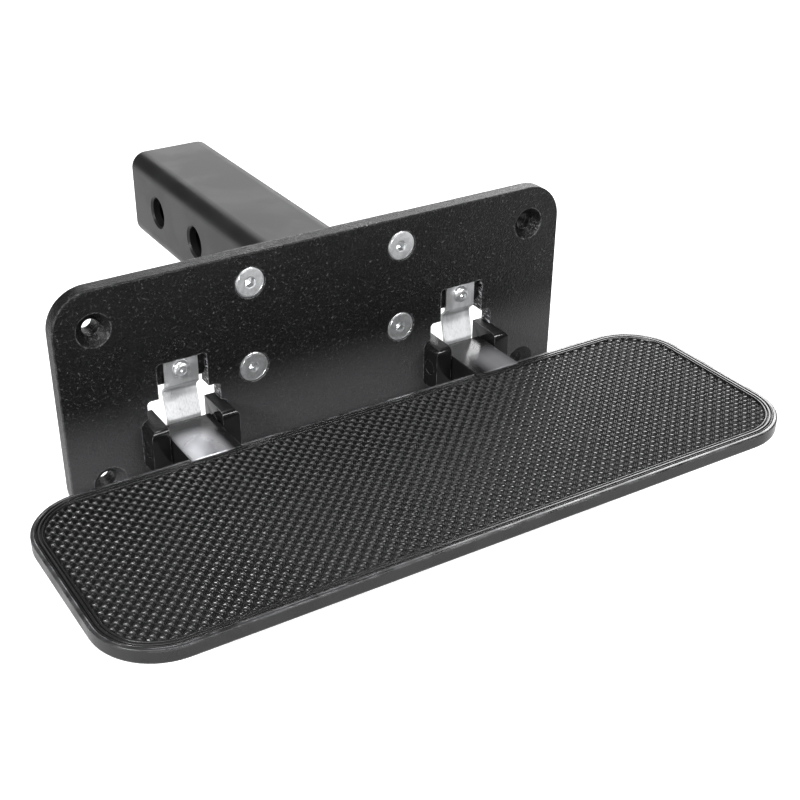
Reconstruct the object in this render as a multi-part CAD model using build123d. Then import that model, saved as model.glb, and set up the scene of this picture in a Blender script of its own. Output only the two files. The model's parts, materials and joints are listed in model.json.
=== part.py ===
from build123d import *
import os

# Folding tailgate step on a 2-inch hitch tube, in millimetres.
# X runs across the vehicle, +Y points at the vehicle and +Z is up.
# The origin is on the front face of the back plate, at the centre of its four corner holes.

# ------------------------------------------------------------------ driving sizes
PLATE_W, PLATE_H, PLATE_T = 288.0, 124.0, 8.0   # back plate, cut from steel plate
PLATE_R = 20.0              # its corner radius
PLATE_EDGE = 0.9            # rounding of its front edge
CORNER_DX, CORNER_DZ = 124.0, 41.6              # corner holes, from the centre
CORNER_SINK = 17.4          # mouth of each corner countersink
CORNER_HOLE = 8.4           # bore behind it
BOSS_D, BOSS_H = 16.0, 6.2  # bosses behind the plate, round the corner holes

M8_D = 8.0                  # flange screw thread
M8_HEAD = 16.0              # flat head, 90 degrees
M8_HOLE = 9.0               # clearance hole
M8_LENGTH = 30.0
M8_SOCKET = 5.0             # hexagon socket, across flats
M8_SOCKET_DEPTH = 3.6
SET_BACK = 0.2              # flange screw heads lie this far below the plate's face
FLANGE_DX, FLANGE_DZ = 43.3, 23.0               # flange screws, from the flange centre
FLANGE_Z = 23.5             # height of the flange centre
FLANGE_W, FLANGE_H, FLANGE_T = 112.0, 70.0, 8.0
FLANGE_R = 6.0
WASHER_D, WASHER_T = 16.0, 1.6
NUT_FLATS, NUT_H = 13.0, 8.0

TUBE = 50.8                 # outside width of the hitch tube: the 2-inch receiver size
TUBE_WALL = 5.0
TUBE_R = 8.9                # outside corner radius
TUBE_Z = 25.0               # height of the tube's axis
TUBE_END = 191.0            # far end, measured from the plate's front face
PIN_HOLE_D = 17.0           # for a 5/8-inch hitch pin
PIN_HOLE_Y = (157.0, 106.5)
PIN_HOLE_RIM = 1.1          # chamfer round the mouth of each pin hole
PLUG_T = 4.0                # plug that closes the tube's free end
WELD_LEG = 6.0
WELD_TOE = 0.5              # thickness left at the thin edge of a weld

HINGE_X = 82.0              # each hinge, from the centre of the plate
AXIS_Y, AXIS_Z = -5.5, -25.5                    # the hinge axis, parallel to X
EAR_OUT = 47.0              # over the two ears of one hinge
EAR_GAP = 28.4              # between them
EAR_FRONT = -12.5
EAR_TOP, EAR_BOTTOM = -12.8, -40.0
EAR_PROUD = 0.8             # ears stand this far behind the plate, for their welds
EAR_CROWN = 4.5             # radius of the ear's outer top corner
EAR_NOSE = 3.0              # radius of its front top corner
EAR_CHIN = 7.0              # radius of its front bottom corner
EAR_EDGE = 0.6
EAR_WELD = 4.0
PIN_D = 8.0
PIN_INSET = 0.3             # pin ends lie this far inside the ears
PIN_EDGE = 0.5
KNUCKLE_R = 9.0
DETENT = 0.4                # depth of the flat where the spring bears on the knuckle
ARM_W = 27.0
ARM_TOP = -18.9
ARM_EDGE = 0.8
ARM_END = 6.7               # radius of the tongue's end corners
TONGUE_T = 7.3              # part of the arm under the tray
TONGUE_END = -92.0
HEEL_FRONT, HEEL_BOTTOM = -12.5, -50.0          # stop below the knuckle, bears on the plate
HEEL_GAP = 0.1

NARROW_W, NARROW_TOP = 26.6, 15.5               # window in the plate, upper part
WIDE_W, WIDE_TOP = 39.0, -3.0                   # and below it
WINDOW_R = 2.0
SLOT_GAP = 0.3              # over and under the ears

BLOCK_FRONT = 3.0           # spring block, set back from the plate's front face
BLOCK_BOTTOM = 3.0
STRIP_W, STRIP_T = 18.0, 1.5
STRIP_TOP = 15.0
STRIP_JOG, STRIP_JOG_Z = 5.6, -3.0              # front face at the bend below the block
STRIP_NOSE, STRIP_NOSE_Z = 1.7, -17.6           # and where it comes forward to the knuckle
STRIP_TURN_Z = -23.0        # from here it hangs straight down
STRIP_END_Z = -29.0
STRIP_CLEAR = 0.3           # between the knuckle, as it turns, and the strip's end
STRIP_BEND = 2.0            # radius inside the bends
M5_D, M5_HEAD, M5_HEAD_H, M5_LENGTH = 5.0, 9.5, 2.75, 6.3
M5_SOCKET, M5_SOCKET_DEPTH = 3.0, 1.9
M5_Z = 9.6

TRAY_W, TRAY_D = 365.0, 124.5
TRAY_BACK = -32.0
TRAY_R = 31.0
TRAY_TOP, TRAY_H = -20.0, 7.4
TRAY_RIM = 1.8              # wall round the tread pad
TRAY_SKIRT = 3.0            # wall round the underside
TRAY_FLOOR = 3.2
TRAY_EDGE_TOP, TRAY_EDGE_BOTTOM = 0.7, 1.6
ARM_REACH = 3.6             # how far the arm's top runs in past the tray's back edge
PAD_T = 3.3                 # tread pad, from the tray floor to its top
PAD_RISE = 0.3              # the pad's top stands this far above the tray's rim
BEAD_W, GROOVE_W, GROOVE_D = 1.3, 0.9, 0.8      # raised border of the pad
M6_D, M6_HEAD, M6_LENGTH = 6.0, 12.0, 9.5
M6_SOCKET, M6_SOCKET_DEPTH = 4.0, 2.0
ARM_SCREW_Y = (-48.0, -80.0)
ARM_SCREW_DX = 7.5

FIT = 0.05                  # radial clearance of a screw in its thread or its sink
RUNNING = 0.07              # radial clearance of the knuckle on its pin
GAP = 0.2                   # between parts that are let into each other
PAST = 1.0                  # how far a cutter runs past what it cuts

SIDES = {"left": -1, "right": 1}
BASE = (Align.CENTER, Align.CENTER, Align.MIN)


# ------------------------------------------------------------------ drawing helpers
def slab(outline, y_front, y_back):
    """An outline drawn in X and Z, made solid from y_front to y_back."""
    return extrude(Plane.XZ.offset(-y_back) * outline, amount=y_back - y_front)


def bar(outline, x_low, x_high):
    """An outline drawn in Y and Z, made solid from x_low to x_high."""
    return extrude(Plane.YZ.offset(x_low) * outline, amount=x_high - x_low)


def sheet(outline, z_low, z_high):
    """An outline drawn in X and Y, made solid from z_low to z_high."""
    return extrude(Plane.XY.offset(z_low) * outline, amount=z_high - z_low)


def span(low_u, high_u, low_v, high_v):
    """A rectangle between two corners."""
    middle = Pos((low_u + high_u) / 2, (low_v + high_v) / 2)
    return middle * Rectangle(high_u - low_u, high_v - low_v)


def back_from(x, y, z):
    """The place of a round solid whose axis points back along +Y."""
    return Plane(origin=(x, y, z), x_dir=(1, 0, 0), z_dir=(0, 1, 0))


def rod_y(radius, x, z, y_front, y_back):
    return back_from(x, y_front, z) * Cylinder(radius, y_back - y_front, align=BASE)


def rod_x(radius, y, z, x_low, x_high):
    place = Plane(origin=(x_low, y, z), x_dir=(0, 1, 0), z_dir=(1, 0, 0))
    return place * Cylinder(radius, x_high - x_low, align=BASE)


def sink(head_d, bore_d, depth):
    """A 90 degree countersink and its bore, opening at the local origin."""
    cone = Cone(head_d / 2, bore_d / 2, (head_d - bore_d) / 2, align=BASE)
    return cone + Cylinder(bore_d / 2, depth, align=BASE)


def flat_screw(thread_d, head_d, length, socket, socket_depth):
    """A flat-head socket screw, head at the local origin, pointing along local +Z."""
    body = sink(head_d, thread_d, length)
    tip = body.edges().group_by(Axis.Z)[-1]
    body = chamfer(tip, thread_d / 10)
    hexagon = RegularPolygon(socket / 2, 6, major_radius=False)
    return body - extrude(hexagon, amount=socket_depth)


# ------------------------------------------------------------------ back plate
def window(x):
    """The opening for one hinge: spring block above, then light, then ears and knuckle."""
    low, high = EAR_BOTTOM - SLOT_GAP, EAR_TOP + SLOT_GAP
    middle = high - EAR_CROWN
    narrow = Pos(x, (middle + NARROW_TOP) / 2) * RectangleRounded(
        NARROW_W, NARROW_TOP - middle, WINDOW_R)
    wide = Pos(x, (middle + WIDE_TOP) / 2) * RectangleRounded(
        WIDE_W, WIDE_TOP - middle, WINDOW_R)
    slot = Pos(x, (low + high) / 2) * RectangleRounded(EAR_OUT, high - low, EAR_CROWN)
    return narrow + wide + slot


def back_plate():
    plate = slab(RectangleRounded(PLATE_W, PLATE_H, PLATE_R), 0, PLATE_T)
    plate = fillet(plate.faces().sort_by(Axis.Y)[0].edges(), PLATE_EDGE)
    for side in SIDES.values():
        plate -= slab(window(side * HINGE_X), -PAST, PLATE_T + PAST)
    corner_sink = sink(CORNER_SINK, CORNER_HOLE, PLATE_T + PAST)
    for x, z in corner_places():
        plate -= back_from(x, 0, z) * corner_sink
    screw_sink = sink(M8_HEAD + 2 * (SET_BACK + FIT), M8_HOLE, PLATE_T + PAST)
    for x, z in flange_places():
        plate -= back_from(x, 0, z) * screw_sink
    return plate


def corner_places():
    return [(sx * CORNER_DX, sz * CORNER_DZ) for sx in (-1, 1) for sz in (-1, 1)]


def corner_bosses():
    """Round bosses behind the plate that lengthen the corner holes."""
    ring = Circle(BOSS_D / 2) - Circle(CORNER_HOLE / 2)
    return [slab(Pos(x, z) * ring, PLATE_T, PLATE_T + BOSS_H) for x, z in corner_places()]


def flange_places():
    return [(sx * FLANGE_DX, FLANGE_Z + sz * FLANGE_DZ) for sx in (-1, 1) for sz in (-1, 1)]


# ------------------------------------------------------------------ hitch tube and flange
def tube_outline(grow=0.0):
    return Pos(0, TUBE_Z) * RectangleRounded(TUBE + 2 * grow, TUBE + 2 * grow, TUBE_R + grow)


def flange_back():
    return PLATE_T + FLANGE_T


def tube_flange():
    flange = slab(Pos(0, FLANGE_Z) * RectangleRounded(FLANGE_W, FLANGE_H, FLANGE_R),
                  PLATE_T, flange_back())
    for x, z in flange_places():
        flange -= rod_y(M8_HOLE / 2, x, z, 0, flange_back() + PAST)
    return flange


def hitch_tube():
    tube = slab(tube_outline() - tube_outline(-TUBE_WALL), flange_back(), TUBE_END)
    mouth = Cone(PIN_HOLE_D / 2 + PIN_HOLE_RIM, PIN_HOLE_D / 2, PIN_HOLE_RIM, align=BASE)
    for y in PIN_HOLE_Y:
        tube -= rod_x(PIN_HOLE_D / 2, y, TUBE_Z, -TUBE, TUBE)
        for side in SIDES.values():
            tube -= Plane(origin=(side * TUBE / 2, y, TUBE_Z), z_dir=(-side, 0, 0)) * mouth
    return tube


def tube_plug():
    return slab(tube_outline(-TUBE_WALL), TUBE_END - PLUG_T, TUBE_END)


def tube_weld():
    """A fillet weld all round the foot of the tube."""
    foot = Plane.XZ.offset(-flange_back()) * tube_outline(WELD_LEG)
    toe = Plane.XZ.offset(-flange_back() - WELD_LEG + WELD_TOE) * tube_outline(WELD_TOE)
    return loft([foot, toe]) - slab(tube_outline(), 0, TUBE_END)


def flange_screws():
    screw = flat_screw(M8_D, M8_HEAD, M8_LENGTH, M8_SOCKET, M8_SOCKET_DEPTH)
    return [back_from(x, SET_BACK, z) * screw for x, z in flange_places()]


def flange_washers():
    ring = Circle(WASHER_D / 2) - Circle(M8_D / 2 + FIT)
    return [slab(Pos(x, z) * ring, flange_back(), flange_back() + WASHER_T)
            for x, z in flange_places()]


def flange_nuts():
    face = flange_back() + WASHER_T
    ring = RegularPolygon(NUT_FLATS / 2, 6, major_radius=False) - Circle(M8_D / 2 + FIT)
    return [slab(Pos(x, z) * ring, face, face + NUT_H) for x, z in flange_places()]


# ------------------------------------------------------------------ hinges
def ear(x, outward):
    """One ear of the hinge at x, on the side that outward (-1 or 1) gives."""
    inner, outer = x + outward * EAR_GAP / 2, x + outward * EAR_OUT / 2
    low, high = min(inner, outer), max(inner, outer)
    front = span(low, high, EAR_BOTTOM, EAR_TOP)
    outer_corners = [v for v in front.vertices() if abs(v.X - outer) < EAR_EDGE]
    front = fillet(outer_corners, EAR_CROWN)
    side = span(EAR_FRONT, PLATE_T + EAR_PROUD, EAR_BOTTOM, EAR_TOP)
    nose = side.vertices().sort_by_distance((EAR_FRONT, EAR_TOP))[0]
    side = fillet(nose, EAR_NOSE)
    chin = side.vertices().sort_by_distance((EAR_FRONT, EAR_BOTTOM))[0]
    side = fillet(chin, EAR_CHIN)
    solid = slab(front, EAR_FRONT, PLATE_T + EAR_PROUD) & bar(side, low, high)
    inner_face = solid.faces().filter_by(Axis.X).sort_by(Axis.X)[0 if outward > 0 else -1]
    solid = fillet([e for e in inner_face.edges() if e.center().Y < PLATE_T], EAR_EDGE)
    return solid - rod_x(PIN_D / 2 + FIT, AXIS_Y, AXIS_Z, low - PAST, high + PAST)


def ear_weld(x, outward):
    """A weld bead down the outer side of an ear, behind the plate."""
    face, back = x + outward * EAR_OUT / 2, PLATE_T
    low, high = EAR_BOTTOM + EAR_CHIN, EAR_TOP - EAR_CROWN
    bead = make_face(Polyline((face, back), (face, back + EAR_PROUD),
                              (face + outward * EAR_WELD, back), close=True))
    return sheet(bead, low, high)


def ear_welds():
    return [ear_weld(side * HINGE_X, outward) for side in SIDES.values() for outward in (-1, 1)]


def hinge_pin(x):
    half = EAR_OUT / 2 - PIN_INSET
    pin = rod_x(PIN_D / 2, AXIS_Y, AXIS_Z, x - half, x + half)
    return chamfer(pin.edges().filter_by(GeomType.CIRCLE), PIN_EDGE)


def arm_tip():
    """Where the top of the arm ends, let into the tray and the pad."""
    return TRAY_BACK - ARM_REACH


def tongue_top():
    return floor_top() - TRAY_FLOOR


def hinge_arm(x):
    """Knuckle, the block in front of it, the heel that stops it, and the tongue, in one piece."""
    bottom = tongue_top() - TONGUE_T
    outline = Pos(AXIS_Y, AXIS_Z) * Circle(KNUCKLE_R)
    outline += span(arm_tip(), AXIS_Y, bottom, ARM_TOP)
    outline += span(TONGUE_END, AXIS_Y, bottom, tongue_top())
    outline += span(HEEL_FRONT, -HEEL_GAP, HEEL_BOTTOM, AXIS_Z)
    reach = KNUCKLE_R - DETENT
    outline -= span(AXIS_Y - KNUCKLE_R, AXIS_Y + 2 * KNUCKLE_R, ARM_TOP, ARM_TOP + KNUCKLE_R)
    outline -= span(AXIS_Y + reach, AXIS_Y + 2 * KNUCKLE_R, AXIS_Z - KNUCKLE_R, ARM_TOP)
    arm = bar(outline, x - ARM_W / 2, x + ARM_W / 2)
    long_edges = arm.faces().filter_by(Axis.Z).sort_by(Axis.Z)[-1].edges()
    arm = fillet(long_edges.filter_by(Axis.Y) + long_edges.sort_by(Axis.Y)[0], ARM_EDGE)
    end_edges = arm.faces().sort_by(Axis.Y)[0].edges().filter_by(Axis.Z)
    arm = fillet(end_edges, ARM_END)
    arm -= rod_x(PIN_D / 2 + RUNNING, AXIS_Y, AXIS_Z, x - ARM_W, x + ARM_W)
    for place in arm_screw_places(x):
        arm -= place * Cylinder(M6_D / 2 + FIT, M6_LENGTH + TRAY_FLOOR + TONGUE_T, align=BASE)
    return arm


# ------------------------------------------------------------------ springs
def strip_front():
    return BLOCK_FRONT - STRIP_T


def spring_block(x):
    block = slab(Pos(x, (BLOCK_BOTTOM + NARROW_TOP) / 2)
                 * RectangleRounded(NARROW_W, NARROW_TOP - BLOCK_BOTTOM, WINDOW_R + GAP),
                 BLOCK_FRONT, PLATE_T)
    return block - rod_y(M5_D / 2 + FIT, x, M5_Z, 0, PLATE_T + PAST)


def spring_strip(x):
    """A bent spring strip: flat on its block, set back below it, then forward and down behind
    the knuckle."""
    end_y = AXIS_Y + KNUCKLE_R + STRIP_CLEAR
    bend_z = BLOCK_BOTTOM - STRIP_BEND
    front = [(strip_front(), STRIP_TOP), (strip_front(), bend_z), (STRIP_JOG, STRIP_JOG_Z),
             (STRIP_NOSE, STRIP_NOSE_Z), (end_y, STRIP_TURN_Z), (end_y, STRIP_END_Z)]
    back = [(y + STRIP_T, z) for y, z in reversed(front)]
    outline = make_face(Polyline(*front, *back, close=True))
    bends = [v for v in outline.vertices() if STRIP_END_Z < v.Y < STRIP_TOP]
    strip = bar(fillet(bends, STRIP_BEND), x - STRIP_W / 2, x + STRIP_W / 2)
    return strip - rod_y(M5_D / 2 + FIT, x, M5_Z, 0, PLATE_T)


def spring_screws():
    """Button-head screws that hold the strips."""
    screws = []
    dome_r = (M5_HEAD ** 2 / 4 + M5_HEAD_H ** 2) / (2 * M5_HEAD_H)
    dome = Pos(0, 0, dome_r) * Sphere(dome_r)
    head = Cylinder(M5_HEAD / 2, M5_HEAD_H, align=BASE) & dome
    screw = head + Cylinder(M5_D / 2, M5_HEAD_H + M5_LENGTH, align=BASE)
    hexagon = RegularPolygon(M5_SOCKET / 2, 6, major_radius=False)
    screw -= extrude(hexagon, amount=M5_SOCKET_DEPTH)
    for side in SIDES.values():
        screws.append(back_from(side * HINGE_X, strip_front() - M5_HEAD_H, M5_Z) * screw)
    return screws


# ------------------------------------------------------------------ step board
def tray_outline(inset=0.0):
    middle = Pos(0, TRAY_BACK - TRAY_D / 2)
    return middle * RectangleRounded(TRAY_W - 2 * inset, TRAY_D - 2 * inset, TRAY_R - inset)


def arm_notches(clearance):
    """The places where the two arms pass through the back edge of the tray and the pad."""
    half = ARM_W / 2 + clearance
    notches = Sketch()
    for side in SIDES.values():
        x = side * HINGE_X
        notches += span(x - half, x + half, arm_tip() - clearance, TRAY_BACK + TRAY_RIM)
    return notches


def floor_top():
    return TRAY_TOP + PAD_RISE - PAD_T


def step_tray():
    tray = sheet(tray_outline(), TRAY_TOP - TRAY_H, TRAY_TOP)
    rims = tray.faces().filter_by(Axis.Z).sort_by(Axis.Z)
    tray = fillet(rims[0].edges(), TRAY_EDGE_BOTTOM)
    tray = fillet(tray.faces().filter_by(Axis.Z).sort_by(Axis.Z)[-1].edges(), TRAY_EDGE_TOP)
    tray -= sheet(tray_outline(TRAY_RIM), floor_top(), TRAY_TOP + PAST)
    tray -= sheet(tray_outline(TRAY_SKIRT), TRAY_TOP - TRAY_H - PAST, tongue_top())
    tray -= sheet(arm_notches(GAP), TRAY_TOP - TRAY_H - PAST, TRAY_TOP + PAST)
    for side in SIDES.values():
        for place in arm_screw_places(side * HINGE_X):
            tray -= place * sink(M6_HEAD + GAP, M6_D + GAP, TRAY_FLOOR + PAST)
    return tray


def tread_pad():
    """The rubber tread: a border bead, a groove, and the field inside it."""
    pad = sheet(tray_outline(TRAY_RIM + GAP / 2), floor_top(), floor_top() + PAD_T)
    inner = TRAY_RIM + BEAD_W
    for step in range(2):
        ring = tray_outline(inner) - tray_outline(inner + GROOVE_W)
        pad -= sheet(ring, floor_top() + PAD_T - GROOVE_D, floor_top() + PAD_T + PAST)
        inner += GROOVE_W + BEAD_W
    return pad - sheet(arm_notches(GAP), floor_top() - PAST, floor_top() + PAD_T + PAST)


def arm_screw_places(x):
    """Screw places on the tray floor, each pointing down into the tongue."""
    return [Plane(origin=(x + side * ARM_SCREW_DX, y, floor_top()),
                  x_dir=(1, 0, 0), z_dir=(0, 0, -1))
            for side in SIDES.values() for y in ARM_SCREW_Y]


def arm_screws():
    screw = flat_screw(M6_D, M6_HEAD, M6_LENGTH, M6_SOCKET, M6_SOCKET_DEPTH)
    lowered = Pos(0, 0, FIT) * screw
    return [place * lowered for side in SIDES.values()
            for place in arm_screw_places(side * HINGE_X)]


# ------------------------------------------------------------------ every node
def build():
    nodes = {
        "back_plate": back_plate(),
        "hitch_tube": hitch_tube(),
        "corner_bosses": corner_bosses(),
        "tube_plug": tube_plug(),
        "tube_flange": tube_flange(),
        "tube_weld": tube_weld(),
        "flange_screws": flange_screws(),
        "flange_washers": flange_washers(),
        "flange_nuts": flange_nuts(),
        "ear_welds": ear_welds(),
        "spring_screws": spring_screws(),
        "step_tray": step_tray(),
        "tread_pad": tread_pad(),
        "arm_screws": arm_screws(),
    }
    for name, side in SIDES.items():
        x = side * HINGE_X
        nodes["ear_" + name + "_outer"] = ear(x, side)
        nodes["ear_" + name + "_inner"] = ear(x, -side)
        nodes["hinge_pin_" + name] = hinge_pin(x)
        nodes["hinge_arm_" + name] = hinge_arm(x)
        nodes["spring_block_" + name] = spring_block(x)
        nodes["spring_strip_" + name] = spring_strip(x)
    return nodes


os.makedirs("parts", exist_ok=True)
for node, shape in build().items():
    if isinstance(shape, list):
        shape = Compound(children=shape)
    export_step(shape, "parts/" + node + ".step")
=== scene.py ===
"""A folding tailgate step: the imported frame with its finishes, and finer shapes where needed."""
import json
from math import cos, pi, radians, sin, sqrt, tau

import bmesh
import bpy
import numpy as np
from bpy.props import FloatProperty, FloatVectorProperty, IntProperty, PointerProperty
from mathutils import Euler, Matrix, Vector


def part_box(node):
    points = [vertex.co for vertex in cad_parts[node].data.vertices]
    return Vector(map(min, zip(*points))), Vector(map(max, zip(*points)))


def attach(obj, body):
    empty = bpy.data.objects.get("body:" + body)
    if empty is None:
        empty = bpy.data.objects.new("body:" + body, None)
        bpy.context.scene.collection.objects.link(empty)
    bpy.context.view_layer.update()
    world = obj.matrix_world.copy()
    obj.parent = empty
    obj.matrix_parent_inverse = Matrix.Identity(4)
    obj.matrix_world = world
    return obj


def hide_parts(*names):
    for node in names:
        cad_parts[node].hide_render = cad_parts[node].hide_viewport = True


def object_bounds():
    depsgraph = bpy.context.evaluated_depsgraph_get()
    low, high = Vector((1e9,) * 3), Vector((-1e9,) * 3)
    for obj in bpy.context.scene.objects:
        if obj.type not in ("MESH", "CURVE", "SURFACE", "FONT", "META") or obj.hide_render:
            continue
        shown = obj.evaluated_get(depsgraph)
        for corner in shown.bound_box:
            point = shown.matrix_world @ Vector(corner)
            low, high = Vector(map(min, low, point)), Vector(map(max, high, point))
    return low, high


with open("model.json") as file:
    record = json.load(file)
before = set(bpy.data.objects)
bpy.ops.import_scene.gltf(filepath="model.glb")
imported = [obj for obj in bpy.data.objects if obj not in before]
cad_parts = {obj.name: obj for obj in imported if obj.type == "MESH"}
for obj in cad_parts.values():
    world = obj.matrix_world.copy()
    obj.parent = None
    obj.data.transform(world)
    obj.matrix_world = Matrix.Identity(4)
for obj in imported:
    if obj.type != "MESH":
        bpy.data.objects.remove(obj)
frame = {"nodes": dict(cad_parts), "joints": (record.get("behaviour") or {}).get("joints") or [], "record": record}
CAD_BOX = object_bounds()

bl_info = {
    "name": "Tailgate Step",
    "version": (1, 0, 0),
    "blender": (4, 5, 0),
    "location": "3D View > Sidebar > Step",
    "description": "Builds the tread, ears, screws, welds and finishes of a folding tailgate step",
    "category": "Object",
}

MM = 0.001
ROOT, STEP = "bracket", "step"
SIDES = {"left": -1, "right": 1}

# ---- sizes and places that the frame gives
HINGE_AXIS = Vector(frame["joints"][0]["pos_m"])
PLATE_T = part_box("back_plate")[1].y
FLANGE_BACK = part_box("tube_flange")[1].y
TRAY_LOW, TRAY_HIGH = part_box("step_tray")
TRAY_HALF, TRAY_MIDDLE = (TRAY_HIGH - TRAY_LOW) / 2, (TRAY_HIGH + TRAY_LOW) / 2
PAD_LOW, PAD_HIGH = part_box("tread_pad")

# ---- sizes of the CAD that its boxes don't show
HINGE_X = 82 * MM
PIN_HOLE_R = 4.05 * MM
EAR_CROWN, EAR_NOSE, EAR_HEEL = 4.5 * MM, 3 * MM, 7 * MM      # radii of an ear's corners
TRAY_R = 31 * MM
ARM_HALF = 13.5 * MM
ARM_TIP_Y = TRAY_HIGH.y - 3.6 * MM      # how far the arms cut into the tread's border
TUBE, TUBE_R, TUBE_Z = 50.8 * MM, 8.9 * MM, 25 * MM
FLANGE_SCREW_X, FLANGE_SCREW_Z = 43.3 * MM, (0.5 * MM, 46.5 * MM)
FLANGE_SCREWS = [(x, z) for x in (-FLANGE_SCREW_X, FLANGE_SCREW_X) for z in FLANGE_SCREW_Z]
SPRING_SCREW_Z = 9.6 * MM


# ------------------------------------------------------------------ what a user would change
def length(name, text, value, low=0.0):
    return FloatProperty(name=name, description=text, default=value, min=low, unit="LENGTH",
                         subtype="DISTANCE", precision=5)


def colour(name, text, value):
    return FloatVectorProperty(name=name, description=text, default=value, size=3, min=0.0,
                               max=1.0, subtype="COLOR")


def share(name, text, value):
    return FloatProperty(name=name, description=text, default=value, min=0.0, max=1.0,
                         subtype="FACTOR")


class StepSizes(bpy.types.PropertyGroup):
    """Sizes of the shapes made here."""
    knob_pitch: length("Knob pitch", "Side of one square cell of the tread, set at 45 degrees",
                       4.31 * MM, 1 * MM)
    knob_height: length("Knob height", "Height of a knob over the tread's base", 1.25 * MM)
    rib_height: length("Rib height", "Height of the thin ribs between the knobs", 0.55 * MM)
    ear_edge: length("Ear edge", "Rounding of the edges of the hinge ears", 0.55 * MM)
    weld_ripple: length("Weld ripple", "Distance between the ripples of a weld", 2.1 * MM,
                        0.5 * MM)
    round_steps: IntProperty(name="Round steps", description="Points round a screw or nut",
                             default=48, min=12, max=96)


class StepFinishes(bpy.types.PropertyGroup):
    """Colours and gloss."""
    paint: colour("Paint", "Black paint on the steel", (0.012, 0.012, 0.0125))
    rubber: colour("Rubber", "Tread rubber", (0.013, 0.013, 0.0133))
    steel: colour("Bright steel", "Springs and screw heads", (0.80, 0.81, 0.82))
    zinc: colour("Zinc", "Nuts and washers", (0.50, 0.50, 0.49))
    coat_roughness: share("Plate gloss", "Roughness of the textured coat", 0.30)
    paint_roughness: share("Tube gloss", "Roughness of the smooth paint", 0.34)
    hinge_roughness: share("Hinge gloss", "Roughness of the gloss paint", 0.16)
    rubber_roughness: share("Rubber gloss", "Roughness of the tread", 0.23)


# ------------------------------------------------------------------ node helpers
def put(tree, kind, inputs=None, **settings):
    """Adds a node. A socket given as an input is linked, and anything else is its value."""
    node = tree.nodes.new(kind)
    for name, value in settings.items():
        setattr(node, name, value)
    for name, value in (inputs or {}).items():
        if isinstance(value, bpy.types.NodeSocket):
            tree.links.new(value, node.inputs[name])
        else:
            node.inputs[name].default_value = value
    return node


def maths(tree, operation, first, second=0.0, third=0.0, clamp=False):
    return put(tree, "ShaderNodeMath", {0: first, 1: second, 2: third}, operation=operation,
               use_clamp=clamp).outputs[0]


def ramp(tree, value, low, high, out_low=0.0, out_high=1.0):
    """Goes smoothly from out_low to out_high as value goes from low to high."""
    node = put(tree, "ShaderNodeMapRange", {"Value": value, "From Min": low, "From Max": high,
                                           "To Min": out_low, "To Max": out_high},
               interpolation_type="SMOOTHSTEP")
    return node.outputs["Result"]


def effect(name, inputs, outputs):
    """An empty node group with float inputs and outputs, and its two ends."""
    tree = bpy.data.node_groups.new(name, "ShaderNodeTree")
    for label, value in inputs.items():
        socket = tree.interface.new_socket(label, in_out="INPUT", socket_type="NodeSocketFloat")
        socket.default_value = value
    for label in outputs:
        tree.interface.new_socket(label, in_out="OUTPUT", socket_type="NodeSocketFloat")
    return tree, put(tree, "NodeGroupInput").outputs, put(tree, "NodeGroupOutput").inputs


def object_point(tree):
    return put(tree, "ShaderNodeTexCoord").outputs["Object"]


def axes_of(tree, vector):
    """The X, Y and Z of a vector."""
    return put(tree, "ShaderNodeSeparateXYZ", {0: vector}).outputs


def true_normal(tree):
    return put(tree, "ShaderNodeNewGeometry").outputs["True Normal"]


def product(tree, first, *masks):
    for mask in masks:
        first = maths(tree, "MULTIPLY", first, mask)
    return first


def beside_hinge(tree, x, middle):
    """How far x is from the nearer of the two planes X = middle and X = -middle."""
    return maths(tree, "ABSOLUTE", maths(
        tree, "SUBTRACT", maths(tree, "ABSOLUTE", x), middle))


def noise(tree, size, detail=2.0, rough=0.5, distortion=0.0, stretch=(1, 1, 1)):
    """Noise with blobs about size metres wide, longer along the axes where stretch is small."""
    point = put(tree, "ShaderNodeVectorMath", {0: object_point(tree), 1: stretch},
                operation="MULTIPLY").outputs[0]
    scale = maths(tree, "DIVIDE", 1.0, size)
    return put(tree, "ShaderNodeTexNoise",
               {"Vector": point, "Scale": scale, "Detail": detail, "Roughness": rough,
                "Distortion": distortion}).outputs[0]


def make_peel():
    """The skin of sprayed powder: fine grain over a soft swell, and a mask of specks on it for painted glints."""
    tree, given, out = effect("Powder skin", {"Grain": 1 * MM, "Swell": 6 * MM},
                              ("Height", "PaintedGlints"))
    fine = noise(tree, given["Grain"], detail=3.0, rough=0.62, distortion=0.7)
    broad = noise(tree, given["Swell"], detail=1.0)
    height = maths(tree, "MULTIPLY_ADD", broad, 0.5, fine)
    tree.links.new(height, out["Height"])
    tree.links.new(ramp(tree, fine, 0.60, 0.67), out["PaintedGlints"])
    return tree


def make_blotch():
    """Uneven gloss from handling and dust."""
    tree, given, out = effect("Handling", {"Size": 30 * MM, "Fine": 2 * MM}, ("Blotches", "Dust"))
    wide = noise(tree, given["Size"], detail=4.0, rough=0.55, distortion=0.4)
    close = noise(tree, given["Fine"], rough=0.6)
    tree.links.new(ramp(tree, wide, 0.35, 0.68), out["Blotches"])
    tree.links.new(ramp(tree, close, 0.62, 0.70), out["Dust"])
    return tree


def make_worn_and_highlight_edges():
    """A mask of the edges, where paint is worn thin, and where some finishes paint edge highlights."""
    tree, given, out = effect("Worn edges and painted highlights", {"Width": 0.6 * MM, "Break": 3 * MM}, ("Mask",))
    rounded = put(tree, "ShaderNodeBevel", {"Radius": given["Width"]}, samples=4).outputs[0]
    true = put(tree, "ShaderNodeNewGeometry").outputs["Normal"]
    facing = put(tree, "ShaderNodeVectorMath", {0: rounded, 1: true},
                 operation="DOT_PRODUCT").outputs["Value"]
    edge = ramp(tree, facing, 0.995, 0.86)
    broken = ramp(tree, noise(tree, given["Break"], detail=3.0, rough=0.6), 0.35, 0.65)
    tree.links.new(maths(tree, "MULTIPLY", edge, broken), out["Mask"])
    return tree


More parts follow.
